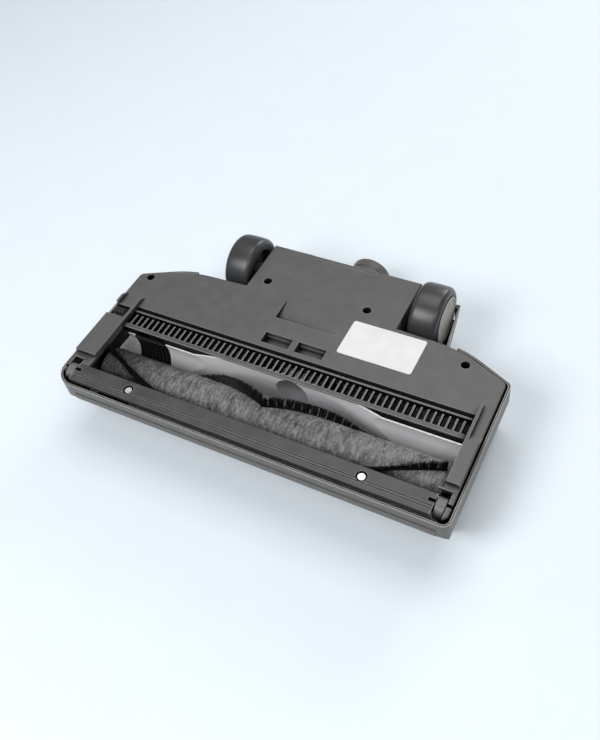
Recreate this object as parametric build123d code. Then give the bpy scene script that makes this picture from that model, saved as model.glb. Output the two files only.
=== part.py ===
"""Powered vacuum floor brush head, lying on its back with the sole up, in millimetres.

X runs to the right, the brush faces -Y and the neck points to +Y. The flat deck of the top cover lies
on Z = 0. The origin is under the middle of the whole head.
"""

from build123d import *
import math
import os

# Heights, measured up from the deck that the head lies on
SOLE = 63.0
PLATE = 3.0
WALL = 2.5
PAD_RISE = 3.5
RIM_DROP = 3.0
SKIRT = 2.2
SKIRT_DROP = 9.0

# Plan of the sole
BASE_HALF = 165.2
BASE_FRONT = -113.9
BAY_Y = 29.25
BLOCK_HALF = 69.2
BLOCK_REAR = 82.65
SHOULDER_IN = 43.2
SHOULDER_Y = 27.3
SHOULDER_R = 100.0
CORNER_Y = 8.0
CORNER_R = 5.0
FRONT_R = 5.0
SHOULDER_X = BASE_HALF - SHOULDER_IN

# Cover around the sole: how far its rim stands out, and how its nose and sides lean inwards
RIM = 3.3
RIM_WALL = 1.9
REAR_RIM = 4.5
NOSE = 4.35
NOSE_R = 6.5
NOSE_R_LEFT = 17.5
NOSE_DROP = 18.0
NOSE_LEAN = 29.9
SIDE_DROP = 20.0
SIDE_LEAN = 9.0
DECK_R = 8.0
BUMPER_LEFT = 20.5
BUMPER_RIGHT = 8.5
FRONT_R_LEFT = NOSE_R_LEFT - RIM
COVER_HALF = BASE_HALF + RIM
COVER_FRONT = BASE_FRONT - NOSE
DECK_HALF = COVER_HALF - SIDE_LEAN
RIM_START = 2.5
RIM_START_X = SHOULDER_X - RIM_START

# Brush opening between the two runners, the wider one on the belt's side
RUNNER_LEFT = 19.9
RUNNER_RIGHT = 10.4
FRONT_BAR = 16.75
OPEN_LONG = 70.4
RIB = 2.2
RAMP_BACK = 12.0
RAMP = 7.0
PAD_FRONT = 9.55
CHANNEL_BACK = 3.0
CHANNEL_W = 14.5
CHANNEL_DEEP = 4.5
OPEN_LEFT = RUNNER_LEFT - BASE_HALF
OPEN_RIGHT = BASE_HALF - RUNNER_RIGHT
OPEN_FRONT = BASE_FRONT + FRONT_BAR
OPEN_REAR = OPEN_FRONT + OPEN_LONG
RAMP_START = OPEN_REAR + RAMP_BACK
PAD_END = OPEN_FRONT + PAD_FRONT
CHANNEL_Y = OPEN_REAR - CHANNEL_BACK

# Comb behind the opening
COMB_GAP = 4.0
COMB_LONG = 18.5
COMB_DEPTH = 4.5
TOOTH_PITCH = 5.45
TOOTH_W = 1.3
TOOTH_BAR = 3.5
COMB_SLANT = 3.0
RAIL_GAP = 4.0
RAIL = 1.4
SHELF = 1.5
SHELF_WALL = 1.6
TEETH_PER_WEB = 11
COMB_BACK = OPEN_REAR - COMB_GAP
COMB_FRONT = COMB_BACK - COMB_LONG
TOOTH_BACK = COMB_BACK - RAIL_GAP
TOOTH_FRONT = COMB_FRONT + TOOTH_BAR
TEETH = int((OPEN_RIGHT - OPEN_LEFT) / TOOTH_PITCH)

# Brush roll
ROLL_BEHIND = 19.4
ROLL_UNDER = 23.0
ROLL_R = 17.0
TIP_R = 25.0
ROLL_GAP = 1.8
BRISTLE_GAP_LEFT = 3.2
BRISTLE_GAP_RIGHT = 4.1
BRISTLE_T = 3.2
BRISTLE_SINK = 1.2
BRISTLE_TURN = 182.0
BRISTLE_START = 12.0
ROLL_SHAFT_R = 4.0
GROOVE_AT = 57.0
GROOVE_W = 1.4
GROOVE_DEEP = 0.8
ROLL_Y = OPEN_FRONT + ROLL_BEHIND
ROLL_Z = SOLE - ROLL_UNDER
ROLL_LEFT = OPEN_LEFT + ROLL_GAP
ROLL_RIGHT = OPEN_RIGHT - ROLL_GAP
BRISTLE_LEFT = OPEN_LEFT + BRISTLE_GAP_LEFT
BRISTLE_RIGHT = OPEN_RIGHT - BRISTLE_GAP_RIGHT

# Chamber around the roll
TIP_ROOM = 1.5
LINER_LONG = 6.3
LINER_WALL = 1.2
LINER_DROP = 13.0
END_WALL = 0.9
END_WALL_DROP = 17.5
CAP_GAP = 1.0
CAP_T = 2.8
FLARE_HALF = 85.0
FLARE_DEEP = 10.0
FLARE_BACK = 7.95
GRILLE_IN = 7.3
GRILLE_W = 30.0
GRILLE_T = 1.0
LINER_R = TIP_R + TIP_ROOM
LINER_BACK = ROLL_Y + LINER_LONG
LINER_RIM = SOLE - LINER_DROP
CAP_LEFT = OPEN_LEFT - CAP_GAP
CAP_RIGHT = OPEN_RIGHT + CAP_GAP
FLARE_Y = LINER_BACK + LINER_R + FLARE_BACK

# Suction path and neck, on one line
NECK_X = 5.0
DUCT_UNDER = 34.5
DUCT_R = 14.5
DUCT_WALL = 2.0
DUCT_FALL = 6.0
SEAL_LONG = 22.25
TILT_Y = 53.25
TILT_UNDER = 43.5
BARREL_R = 19.0
BARREL_WALL = 2.5
BARREL_HALF = 22.0
STUB_R = 18.7
TRUNNION_R = 7.0
CHEEK_T = 5.6
SOCKET_R = 16.0
SOCKET_WALL = 1.75
SOCKET_LONG = 40.85
COLLAR = 0.4
COLLAR_LONG = 8.0
SWIVEL_BACK = 24.75
SPIGOT_R = 17.25
SPIGOT_LONG = 7.0
DUCT_Z = SOLE - DUCT_UNDER
TILT_Z = SOLE - TILT_UNDER
SWIVEL_Y = TILT_Y + SWIVEL_BACK
SOCKET_START = SWIVEL_Y + 0.4
SOCKET_END = SOCKET_START + SOCKET_LONG
DUCT_END = TILT_Y - FLARE_Y - SEAL_LONG

# Motor and belt
MOTOR_Y = -12.0
MOTOR_UNDER = 36.0
MOTOR_R = 22.0
MOTOR_LONG = 86.0
MOTOR_IN = 22.3
CAN_WALL = 2.0
ARMATURE_R = 14.0
ARMATURE_LONG = 52.0
MOTOR_SHAFT_R = 3.0
MOTOR_PULLEY_R = 8.0
ROLL_PULLEY_R = 14.0
FLANGE = 2.0
FLANGE_T = 0.8
BELT_GAP = 1.7
BELT_W = 7.5
BELT_T = 2.0
CLEAR = 0.3
RUN = 0.05
MOTOR_Z = SOLE - MOTOR_UNDER
MOTOR_LEFT = CAP_LEFT + MOTOR_IN
MOTOR_RIGHT = MOTOR_LEFT + MOTOR_LONG
BELT_LEFT = CAP_LEFT - CAP_T - BELT_GAP - BELT_W

# Rear wheels, and the fenders that lean in beside them
WHEEL_Y = 62.4
WHEEL_UNDER = 13.4
WHEEL_R = 27.5
WHEEL_GAP = 4.3
WHEEL_W = 24.6
TYRE_ROUND = 4.5
HUB_R = 20.5
HUB_RIM = 1.0
AXLE_R = 3.0
WHEEL_ROOM = 2.5
FENDER_GAP = 7.5
FENDER_WALL = 1.5
FENDER_DROP = 15.0
FENDER_DROP_LEFT = 28.0
FENDER_STOP = 17.6
FENDER_REAR = 21.6
FENDER_LEAN = 7.0
FENDER_TOE = 8.2
WHEEL_Z = SOLE - WHEEL_UNDER
WHEEL_IN = BLOCK_HALF + WHEEL_GAP
WHEEL_OUT = WHEEL_IN + WHEEL_W
FENDER_X = WHEEL_OUT + FENDER_GAP
FENDER_TOP = SOLE - FENDER_DROP
FENDER_TOP_LEFT = SOLE - FENDER_DROP_LEFT

# Front rollers
ROLLER_BEHIND = 10.65
ROLLER_UNDER = 7.5
ROLLER_R = 8.0
ROLLER_W = 7.3
ROLLER_SIDE = 0.6
EAR = 3.3
PIN_R = 1.5
ROLLER_Y = BASE_FRONT + ROLLER_BEHIND
ROLLER_Z = SOLE - ROLLER_UNDER
ROLLER_OUT = BASE_HALF - EAR - ROLLER_SIDE
ROLLER_IN = ROLLER_OUT - ROLLER_W
POCKET_OUT = ROLLER_OUT + ROLLER_SIDE
POCKET_IN = ROLLER_IN - ROLLER_SIDE
PIN_IN = POCKET_IN - 5.0
PIN_OUT = BASE_HALF - 0.4

# Front strip and fasteners
STRIP_GAP = 0.4
STRIP_T = 2.4
STRIP_SEAT = 1.9
STRIP_WELL_R = 4.3
STRIP_HEAD_R = 2.8
LEDGE = 1.8
STRIP_SCREW_IN = 52.8
STRIP_SCREW_BACK = 8.9
WELL_R = 3.7
WELL_DEEP = 12.0
BOSS_R = 5.75
PILOT_R = 2.0
SCREW_LONG = 23.0
STRIP_HALF = POCKET_IN - STRIP_GAP
STRIP_SCREW_X = STRIP_HALF - STRIP_SCREW_IN
STRIP_SCREW_Y = BASE_FRONT + STRIP_SCREW_BACK
WELL_FLOOR = SOLE - WELL_DEEP
BOSS_FLOOR = WELL_FLOOR - 2.0
SCREW_TIP = WELL_FLOOR - SCREW_LONG
SCREW_WELLS = [
    (10.2 - BASE_HALF, CORNER_Y - 0.4),
    (BASE_HALF - 33.6, CORNER_Y + 6.0),
    (15.2 - BLOCK_HALF, BAY_Y + 10.8),
    (BLOCK_HALF - 30.0, BAY_Y + 9.6),
]

# Recesses and label on the sole
FINGER_X = 0.5
FINGER_W = 24.8
FINGER_LONG = 10.75
FINGER_WEB = 5.4
FINGER_BACK = 4.5
FINGER_DEEP = 6.5
RECESS_HALF = 28.0
RECESS_Y = 5.25
RECESS_LONG = 20.0
RECESS_DEEP = 5.0
RECESS_EDGE = 0.6
LABEL_W = 62.3
LABEL_LONG = 35.2
LABEL_IN = 99.15
LABEL_Y = 7.35


def block(x0, x1, y0, y1, z0, z1):
    """Box between two opposite corners."""
    centre = Pos((x0 + x1) / 2, (y0 + y1) / 2, (z0 + z1) / 2)
    return centre * Box(x1 - x0, y1 - y0, z1 - z0)


def rod_x(radius, x0, x1, y, z):
    """Cylinder along X."""
    return Pos((x0 + x1) / 2, y, z) * Rot(0, 90, 0) * Cylinder(radius, x1 - x0)


def rod_y(radius, y0, y1, x, z):
    """Cylinder along Y."""
    return Pos(x, (y0 + y1) / 2, z) * Rot(90, 0, 0) * Cylinder(radius, y1 - y0)


def rod_z(radius, z0, z1, x, y):
    """Cylinder along Z."""
    return Pos(x, y, (z0 + z1) / 2) * Cylinder(radius, z1 - z0)


def both_sides(piece):
    """The piece and its mirror image on the other side of the head."""
    return piece + mirror(piece, about=Plane.YZ)


def side_prism(points, x0, x1):
    """Prism along X whose section is the outline through these points in Y and Z."""
    face = make_face(Plane.YZ * Polyline(*points, close=True))
    return Pos(x0, 0, 0) * extrude(face, amount=x1 - x0, dir=(1, 0, 0))


def plan(half, front, rear_out, corners, block_half=BLOCK_HALF, block_rear=BLOCK_REAR):
    """Outline of the head from above: round front corners, sloping shoulders, narrow rear block.

    The corners are the radii in front, first on the right and then on the belt's side.
    """
    right = [
        (half, front),
        (half, CORNER_Y + 0.6 * rear_out),
        (SHOULDER_X + 0.4 * rear_out, SHOULDER_Y + rear_out),
        (block_half, BAY_Y + rear_out),
        (block_half, block_rear),
    ]
    left = [(-x, y) for x, y in reversed(right)]
    face = make_face(Polyline(*right, *left, close=True))
    radii = [corners[0], CORNER_R, SHOULDER_R, SHOULDER_R, CORNER_R, corners[1]]
    for (x, y), radius in zip(right[:3] + left[2:], radii):
        ends = [v for v in face.vertices() if abs(v.X - x) < 0.01 and abs(v.Y - y) < 0.01]
        face = fillet(ends, radius)
    return face


def write(name, piece):
    """Saves one piece as its own file."""
    export_step(piece, f"parts/{name}.step")


os.makedirs("parts", exist_ok=True)

# Room around the front rollers, kept free in every piece near them
roller_room = both_sides(rod_x(ROLLER_R + 1, POCKET_IN, POCKET_OUT, ROLLER_Y, ROLLER_Z))

# Sole: a plate with a low skirt
outline = plan(BASE_HALF, BASE_FRONT, 0, (FRONT_R, FRONT_R_LEFT))
within_sole = extrude(outline, SOLE + PAD_RISE)
plate = Pos(0, 0, SOLE - PLATE) * extrude(outline, PLATE)
plate = fillet(plate.faces().sort_by(Axis.Z)[-1].outer_wire().edges(), 1.0)
inner = plan(BASE_HALF - SKIRT, BASE_FRONT + SKIRT, -SKIRT, (FRONT_R - SKIRT, FRONT_R_LEFT - SKIRT))
skirt_top = SKIRT_DROP - PLATE + 0.5
skirt = Pos(0, 0, SOLE - SKIRT_DROP) * (extrude(outline, skirt_top) - extrude(inner, skirt_top))
skirt = skirt & block(-BASE_HALF, BASE_HALF, PAD_END, BAY_Y - 5, 0, SOLE)
bay_wall = block(BLOCK_HALF, RIM_START_X - 1.5, BAY_Y - 3.25, BAY_Y - 1.05, FENDER_TOP, SOLE - PLATE)
base = plate + skirt + both_sides(bay_wall)

# Runners beside the opening: a flat pad in front, and behind it a rib that ends in a ramp
rib_side = [
    (RAMP_START, SOLE - 0.5),
    (RAMP_START, SOLE),
    (RAMP_START - RAMP, SOLE + PAD_RISE),
    (PAD_END, SOLE + PAD_RISE),
    (PAD_END, SOLE - 0.5),
]
pad_side = [
    (CHANNEL_Y - CHANNEL_W, SOLE - 0.5),
    (CHANNEL_Y - CHANNEL_W, SOLE),
    (CHANNEL_Y - CHANNEL_W - RAMP, SOLE + PAD_RISE),
    (PAD_END, SOLE + PAD_RISE),
    (PAD_END, SOLE - 0.5),
]
channel_side = [
    (CHANNEL_Y - CHANNEL_W, SOLE - 0.5),
    (CHANNEL_Y - CHANNEL_W, SOLE + PAD_RISE),
    (PAD_END, SOLE + PAD_RISE),
    (PAD_END, SOLE - 0.5),
]
fin_side = rib_side[:3] + [(CHANNEL_Y, SOLE + PAD_RISE), (CHANNEL_Y, SOLE - 0.5)]
base += side_prism(rib_side, OPEN_LEFT - RIB, OPEN_LEFT) + side_prism(rib_side, OPEN_RIGHT, OPEN_RIGHT + RIB)
base += side_prism(fin_side, 0.3 - BASE_HALF, RIB - BASE_HALF)
for side, x0, x1 in ((channel_side, -BASE_HALF, OPEN_LEFT), (pad_side, OPEN_RIGHT, BASE_HALF)):
    pad = side_prism(side, x0, x1)
    base += fillet(pad.faces().sort_by(Axis.Z)[-1].edges().filter_by(Axis.Y), 0.9)
channel_x = (-BASE_HALF, OPEN_LEFT - RIB)
base += block(*channel_x, CHANNEL_Y - CHANNEL_W, CHANNEL_Y, SOLE - CHANNEL_DEEP - 2, SOLE - 1)
base -= block(*channel_x, CHANNEL_Y - CHANNEL_W, CHANNEL_Y, SOLE - CHANNEL_DEEP, SOLE + PAD_RISE + 1)

# Brush opening, the shelf under the comb, and the sunk ledge that takes the front strip
base -= block(OPEN_LEFT, OPEN_RIGHT, OPEN_FRONT, OPEN_REAR, SOLE - SKIRT_DROP, SOLE + PAD_RISE + 1)
shelf_low = SOLE - COMB_DEPTH - SHELF
base += block(OPEN_LEFT, OPEN_RIGHT, TOOTH_FRONT, OPEN_REAR + SHELF_WALL, shelf_low, SOLE - COMB_DEPTH)
base += block(OPEN_LEFT, OPEN_RIGHT, OPEN_REAR, OPEN_REAR + SHELF_WALL, shelf_low, SOLE - 1)
base -= block(-STRIP_HALF, STRIP_HALF, BASE_FRONT - 1, OPEN_FRONT, SOLE - STRIP_T, SOLE + 1)
ledge_low = SOLE - STRIP_T - LEDGE
base += block(-STRIP_HALF, STRIP_HALF, BASE_FRONT, OPEN_FRONT - 0.25, ledge_low, SOLE - STRIP_T)

# Windows in that shelf under the slots of the comb, with webs under some teeth
comb_mid = (OPEN_LEFT + OPEN_RIGHT) / 2
gap_half = (TOOTH_PITCH - TOOTH_W) / 2
gap_x = [comb_mid + (i - TEETH / 2 + 0.5) * TOOTH_PITCH for i in range(TEETH)]
for i in range(0, TEETH, TEETH_PER_WEB):
    x0 = gap_x[i] - gap_half
    x1 = gap_x[min(i + TEETH_PER_WEB, TEETH) - 1] + gap_half
    base -= block(x0, x1, TOOTH_FRONT - 1, TOOTH_BACK, shelf_low - 1, SOLE)
    base -= block(x0, x1, COMB_BACK + 0.4, OPEN_REAR - 0.4, shelf_low - 1, SOLE)

# Pockets of the front rollers, open in front, with ears whose slots take the pins from above
pocket_rear = ROLLER_Y + ROLLER_R + 2.25
ear_low = ROLLER_Z - 3.0
pocket = block(POCKET_IN, POCKET_OUT, BASE_FRONT - 1, pocket_rear, SOLE - 12, SOLE + 1)
ears = block(PIN_IN - 1, POCKET_IN, ROLLER_Y - 3, ROLLER_Y + 3, ear_low, SOLE - STRIP_T)
ears += block(POCKET_OUT, BASE_HALF, ROLLER_Y - 3, ROLLER_Y + 3, ear_low, SOLE - 1)
slot = block(PIN_IN, BASE_HALF + 1, ROLLER_Y - PIN_R, ROLLER_Y + PIN_R, ROLLER_Z, SOLE + 1)
pin = rod_x(PIN_R, PIN_IN, PIN_OUT, ROLLER_Y, ROLLER_Z)
pin_hole = rod_x(PIN_R, PIN_IN, BASE_HALF + 1, ROLLER_Y, ROLLER_Z)
lip = block(POCKET_IN - 2, POCKET_OUT + 1, pocket_rear, pocket_rear + 0.9, SOLE - 1, SOLE + 0.9)
base = base - both_sides(pocket) + (both_sides(ears + lip) & within_sole) - both_sides(slot + pin_hole)

# Two finger pockets with a web between them, and the sloping recess behind
finger_y = OPEN_REAR + FINGER_BACK
for x0 in (FINGER_X - FINGER_WEB / 2 - FINGER_W, FINGER_X + FINGER_WEB / 2):
    x1 = x0 + FINGER_W
    y1 = finger_y + FINGER_LONG
    base += block(x0 - 1.5, x1 + 1.5, finger_y - 1.5, y1 + 1.5, SOLE - FINGER_DEEP - 1.5, SOLE - 2)
    base -= block(x0, x1, finger_y, y1, SOLE - FINGER_DEEP, SOLE + 1)
    base += block(x0, x1, y1 - 1.5, y1, SOLE - FINGER_DEEP, SOLE - 3)
recess_end = RECESS_Y + RECESS_LONG
recess_back = [(RECESS_Y - 1.25, SOLE - 2), (RECESS_Y - 1.25, SOLE - RECESS_DEEP - 2), (recess_end, SOLE - 2)]
base += side_prism(recess_back, -RECESS_HALF - 1.5, RECESS_HALF + 1.5)
rise_back = math.degrees(math.atan2(RECESS_DEEP - RECESS_EDGE, RECESS_LONG))
rise_right = math.degrees(math.atan2(RECESS_DEEP - RECESS_EDGE, 2 * RECESS_HALF))
above_floor = Rot(0, -rise_right, 0) * Rot(rise_back, 0, 0) * block(-BASE_HALF, BASE_HALF, -50, 100, 0, SOLE)
recess = block(-RECESS_HALF, RECESS_HALF, RECESS_Y, recess_end, SOLE - RECESS_DEEP, SOLE + 1)
base -= recess & Pos(-RECESS_HALF, RECESS_Y, SOLE - RECESS_DEEP) * above_floor
base -= rod_z(1.0, SOLE - RECESS_DEEP - 1, SOLE, NECK_X - 2.0, RECESS_Y + 1.75)
base -= block(NECK_X - 36, NECK_X + 24.5, BLOCK_REAR - 4, BLOCK_REAR + 1, SOLE - 0.8, SOLE + 1)

# Screw wells and the bosses that hold the wheel axles
for x, y in SCREW_WELLS:
    base += rod_z(BOSS_R, BOSS_FLOOR, SOLE - 1, x, y) & within_sole
    base -= rod_z(WELL_R, WELL_FLOOR, SOLE + 1, x, y)
    base -= rod_z(PILOT_R, BOSS_FLOOR, SOLE - 1, x, y)
axle_in = BLOCK_HALF - 11.2
axle = rod_x(AXLE_R, axle_in, WHEEL_OUT - 5, WHEEL_Y, WHEEL_Z)
axle_boss = block(axle_in, BLOCK_HALF - WALL, WHEEL_Y - 6, WHEEL_Y + 6, WHEEL_Z - 7.6, SOLE - 1)
base = base + both_sides(axle_boss) - both_sides(axle)
for x in (-STRIP_SCREW_X, STRIP_SCREW_X):
    base -= rod_z(1.6, ledge_low - 1, SOLE, x, STRIP_SCREW_Y)
write("base_plate", base)


def nose_corners(inset):
    """Radii of the cover's front corners, shrunk by inset."""
    return (NOSE_R - inset, NOSE_R_LEFT - inset)


def hood(inset):
    """Body of the cover, shrunk by inset: its plan, cut to a sloping front and sloping sides."""
    top = SOLE - RIM_DROP
    front = COVER_FRONT + inset
    half = COVER_HALF - inset
    rear_out = REAR_RIM - inset
    face = plan(half, front, rear_out, nose_corners(inset), BLOCK_HALF - inset, BLOCK_REAR - inset)
    body = Pos(0, 0, inset) * extrude(face, top - inset)
    nose_z = SOLE - NOSE_DROP
    lean = inset / math.cos(math.atan2(NOSE_LEAN, nose_z))
    foot = COVER_FRONT + NOSE_LEAN + lean - inset * NOSE_LEAN / nose_z
    rear = BLOCK_REAR + 10
    body = body & side_prism(
        [(front, top), (front, nose_z), (foot, inset), (rear, inset), (rear, top)], -COVER_HALF, COVER_HALF
    )
    front_view = [(half, top), (half, SOLE - SIDE_DROP), (DECK_HALF - inset, inset)]
    front_view += [(-x, z) for x, z in reversed(front_view)]
    front_face = make_face(Polyline(*front_view, close=True))
    front_face = fillet(front_face.vertices().sort_by(Axis.Y)[:2], DECK_R)
    return body & Pos(0, rear, 0) * extrude(Plane.XZ * front_face, rear - COVER_FRONT + 10)


flare_r = (FLARE_HALF**2 + FLARE_DEEP**2) / (2 * FLARE_DEEP)


def chamber(grow):
    """Space of the brush chamber, grown by the wall's thickness for its outside."""
    radius = LINER_R + grow
    trough = rod_x(radius, CAP_LEFT, CAP_RIGHT, ROLL_Y, ROLL_Z)
    trough += rod_x(radius, CAP_LEFT, CAP_RIGHT, LINER_BACK, ROLL_Z)
    trough += block(CAP_LEFT, CAP_RIGHT, ROLL_Y, LINER_BACK, ROLL_Z - radius, ROLL_Z + radius)
    swell = rod_z(flare_r + grow, ROLL_Z - radius, LINER_RIM, NECK_X, FLARE_Y - flare_r)
    flare_room = FLARE_HALF + FLARE_DEEP
    return trough + (swell & block(NECK_X - flare_room, NECK_X + flare_room, LINER_BACK, 0, 0, SOLE))


def duct_rod(radius, start, end):
    """Cylinder on the line of the duct, which falls from the chamber towards the neck."""
    place = Pos(NECK_X, FLARE_Y, DUCT_Z) * Rot(-DUCT_FALL, 0, 0)
    return place * rod_y(radius, start, end, 0, 0)


def beside_wheel(inset):
    """Half space inside the leaning face of the right fender, moved inwards by inset."""
    place = Pos(FENDER_X - inset, WHEEL_Y, FENDER_TOP) * Rot(0, 0, FENDER_TOE) * Rot(0, FENDER_LEAN, 0)
    return place * block(-2 * FENDER_X, 0, -FENDER_X, FENDER_X, -2 * SOLE, SOLE)


chamber_outside = chamber(LINER_WALL)

# Cover: a shell under the sole, with fenders beside the wheels and a slot where the neck tilts
cover = hood(0)
fender_r = WHEEL_R + WHEEL_ROOM + FENDER_WALL + 1.0
fender = rod_x(fender_r, BLOCK_HALF - 1, FENDER_X + 10, WHEEL_Y, WHEEL_Z)
fender = fender & block(0, FENDER_X + 10, BAY_Y - 4, WHEEL_Y + FENDER_REAR, 0, FENDER_TOP) & beside_wheel(0)
low_fender = fender & block(0, FENDER_X + 10, 0, BLOCK_REAR + 10, 0, FENDER_TOP_LEFT)
cover += fender + mirror(low_fender, about=Plane.YZ)
cover -= hood(WALL)
wheel_well = rod_x(WHEEL_R + WHEEL_ROOM, BLOCK_HALF, FENDER_X + 10, WHEEL_Y, WHEEL_Z)
wheel_well = wheel_well & beside_wheel(FENDER_WALL)
wheel_well -= block(WHEEL_OUT + 1, FENDER_X + 10, WHEEL_Y + FENDER_STOP, WHEEL_Y + 2 * WHEEL_R, 0, FENDER_TOP)
cover -= both_sides(wheel_well)
cover -= both_sides(block(BLOCK_HALF, RIM_START_X, BAY_Y - 4.25, BAY_Y + 10.75, FENDER_TOP, SOLE))
cover -= both_sides(axle)

# Thin rim around the sole, with a fine groove along its top
rim_top = SOLE - RIM_DROP
rim_inner = plan(
    COVER_HALF - RIM_WALL,
    COVER_FRONT + RIM_WALL,
    REAR_RIM - RIM_WALL,
    nose_corners(RIM_WALL),
    BLOCK_HALF - WALL,
)
cover -= Pos(0, 0, rim_top - 5) * extrude(rim_inner, 6)
groove_bands = [
    plan(COVER_HALF - i, COVER_FRONT + i, REAR_RIM - i, nose_corners(i), BLOCK_HALF - WALL)
    for i in (0.7, 1.2)
]
cover -= Pos(0, 0, rim_top - 0.6) * (extrude(groove_bands[0], 1) - extrude(groove_bands[1], 1))

# Slot for the neck, ribs under the chamber and the duct, bosses, and the groove of the bumper
slot_half = BARREL_HALF + 0.7
cover -= block(NECK_X - slot_half, NECK_X + slot_half, TILT_Y - 15.5, BLOCK_REAR + 10, -1, TILT_Z)
cover -= rod_y(slot_half, TILT_Y, BLOCK_REAR + 10, NECK_X, TILT_Z)
within_cover = hood(1)
for x in (OPEN_LEFT + 45.3, OPEN_RIGHT - 49.8):
    saddle = block(x - 1.2, x + 1.2, COVER_FRONT, LINER_BACK + 24, 1, ROLL_Z - 10)
    cover += (saddle & within_cover) - chamber_outside
duct_rib = block(NECK_X - 9, NECK_X + 9, FLARE_Y + 39, FLARE_Y + 43, 1, 14)
cover += duct_rib - duct_rod(DUCT_R + DUCT_WALL, 20, 60)
for x, y in SCREW_WELLS:
    cover += rod_z(BOSS_R - 0.75, 1, BOSS_FLOOR, x, y) & within_cover
    cover -= rod_z(PILOT_R, SCREW_TIP, SOLE, x, y)
bumper_x = (BUMPER_LEFT - COVER_HALF, COVER_HALF - BUMPER_RIGHT)
bumper_low = SOLE - NOSE_DROP + 0.4
bumper_back = COVER_FRONT + 1.4
cover -= block(*bumper_x, COVER_FRONT - 1, bumper_back, bumper_low, bumper_low + 6.2)
write("top_cover", cover)

# Soft strip in the front of the cover
bumper = block(*bumper_x, COVER_FRONT - 1, bumper_back, bumper_low, bumper_low + 6.2)
bumper = fillet(bumper.faces().sort_by(Axis.Y)[0].edges(), 0.9)
write("front_bumper", bumper)

# Front strip with two shallow grooves, and its two screws
strip = block(-STRIP_HALF, STRIP_HALF, BASE_FRONT, OPEN_FRONT, SOLE - STRIP_T, SOLE)
strip = fillet(strip.faces().sort_by(Axis.Z)[-1].edges().filter_by(Axis.X), 0.7)
strip -= both_sides(slot)
for y in (BASE_FRONT + 4.3, BASE_FRONT + 6.5):
    strip -= block(-STRIP_HALF, STRIP_HALF, y - 0.5, y + 0.5, SOLE - 0.6, SOLE + 1)
strip_screws = []
seat = SOLE - STRIP_SEAT
for x in (-STRIP_SCREW_X, STRIP_SCREW_X):
    strip -= rod_z(STRIP_WELL_R, seat, SOLE + 1, x, STRIP_SCREW_Y)
    strip -= rod_z(1.6, SOLE - STRIP_T - 1, SOLE, x, STRIP_SCREW_Y)
    screw = rod_z(STRIP_HEAD_R, seat, seat + 1.1, x, STRIP_SCREW_Y)
    screw += rod_z(1.6, ledge_low, seat + 0.1, x, STRIP_SCREW_Y)
    cross = block(x - 1.6, x + 1.6, STRIP_SCREW_Y - 0.4, STRIP_SCREW_Y + 0.4, seat + 0.6, SOLE)
    cross += block(x - 0.4, x + 0.4, STRIP_SCREW_Y - 1.6, STRIP_SCREW_Y + 1.6, seat + 0.6, SOLE)
    strip_screws.append(screw - cross)
write("front_strip", strip)
write("strip_screws", Compound(strip_screws))

# Screws at the bottom of the four wells
housing_screws = []
for x, y in SCREW_WELLS:
    head = rod_z(WELL_R - 0.4, WELL_FLOOR, WELL_FLOOR + 2.4, x, y)
    shank = rod_z(PILOT_R, SCREW_TIP, WELL_FLOOR, x, y)
    cross = block(x - 1.8, x + 1.8, y - 0.45, y + 0.45, WELL_FLOOR + 1.2, SOLE)
    cross += block(x - 0.45, x + 0.45, y - 1.8, y + 1.8, WELL_FLOOR + 1.2, SOLE)
    housing_screws.append(head + shank - cross)
write("housing_screws", Compound(housing_screws))

# Comb: a bar with a slanted front edge, a rail at its back and a row of slots right through it
comb = block(OPEN_LEFT, OPEN_RIGHT, COMB_FRONT, COMB_BACK, SOLE - COMB_DEPTH, SOLE)
comb = chamfer(comb.edges().filter_by(Axis.X).group_by(Axis.Y)[0].sort_by(Axis.Z)[0], COMB_SLANT)
comb -= block(OPEN_LEFT, OPEN_RIGHT, TOOTH_BACK, COMB_BACK - RAIL, SOLE - COMB_DEPTH + 1, SOLE + 1)
gap = block(-gap_half, gap_half, TOOTH_FRONT, TOOTH_BACK, SOLE - COMB_DEPTH - 1, SOLE + 1)
comb -= [Pos(x, 0, 0) * gap for x in gap_x]
write("comb_grille", comb)

# Toothed strip that lies in the channel of the wide runner
lint_base = block(*channel_x, CHANNEL_Y - 7, CHANNEL_Y - 1, SOLE - CHANNEL_DEEP, SOLE - CHANNEL_DEEP + 1.4)
lint_count = int((channel_x[1] - channel_x[0]) / 2.4)
lint_start = (channel_x[0] + channel_x[1] - 2.4 * lint_count) / 2
lint_teeth = []
for i in range(lint_count):
    x = lint_start + 2.4 * i
    tooth = Polyline((x, 0), (x + 2.4, 0), (x + 1.2, 2.6), close=True)
    tooth_face = make_face(Pos(0, CHANNEL_Y - 7, SOLE - CHANNEL_DEEP + 1.2) * Rot(90, 0, 0) * tooth)
    lint_teeth.append(extrude(tooth_face, amount=4.5, dir=(0, 1, 0)))
write("lint_strip", lint_base + lint_teeth)

# Chamber wall: a trough around the roll that swells backwards to the mouth of the duct
liner = chamber_outside - chamber(0)
liner -= block(-BASE_HALF, BASE_HALF, LINER_BACK, 0, LINER_RIM, SOLE + 20)
liner -= block(-BASE_HALF, BASE_HALF, COVER_FRONT, LINER_BACK, ledge_low, SOLE + 20)
liner -= duct_rod(DUCT_R, -8, 20)
end_walls = chamber(0) & block(-BASE_HALF, BASE_HALF, COVER_FRONT, 0, 0, SOLE - END_WALL_DROP)
end_walls -= block(CAP_LEFT + END_WALL, CAP_RIGHT - END_WALL, COVER_FRONT, 0, 0, SOLE)
liner += end_walls - rod_x(ROLL_SHAFT_R + 2, CAP_LEFT, CAP_RIGHT, ROLL_Y, ROLL_Z)
liner = liner - roller_room - both_sides(ears)
write("tunnel_liner", liner)

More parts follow.
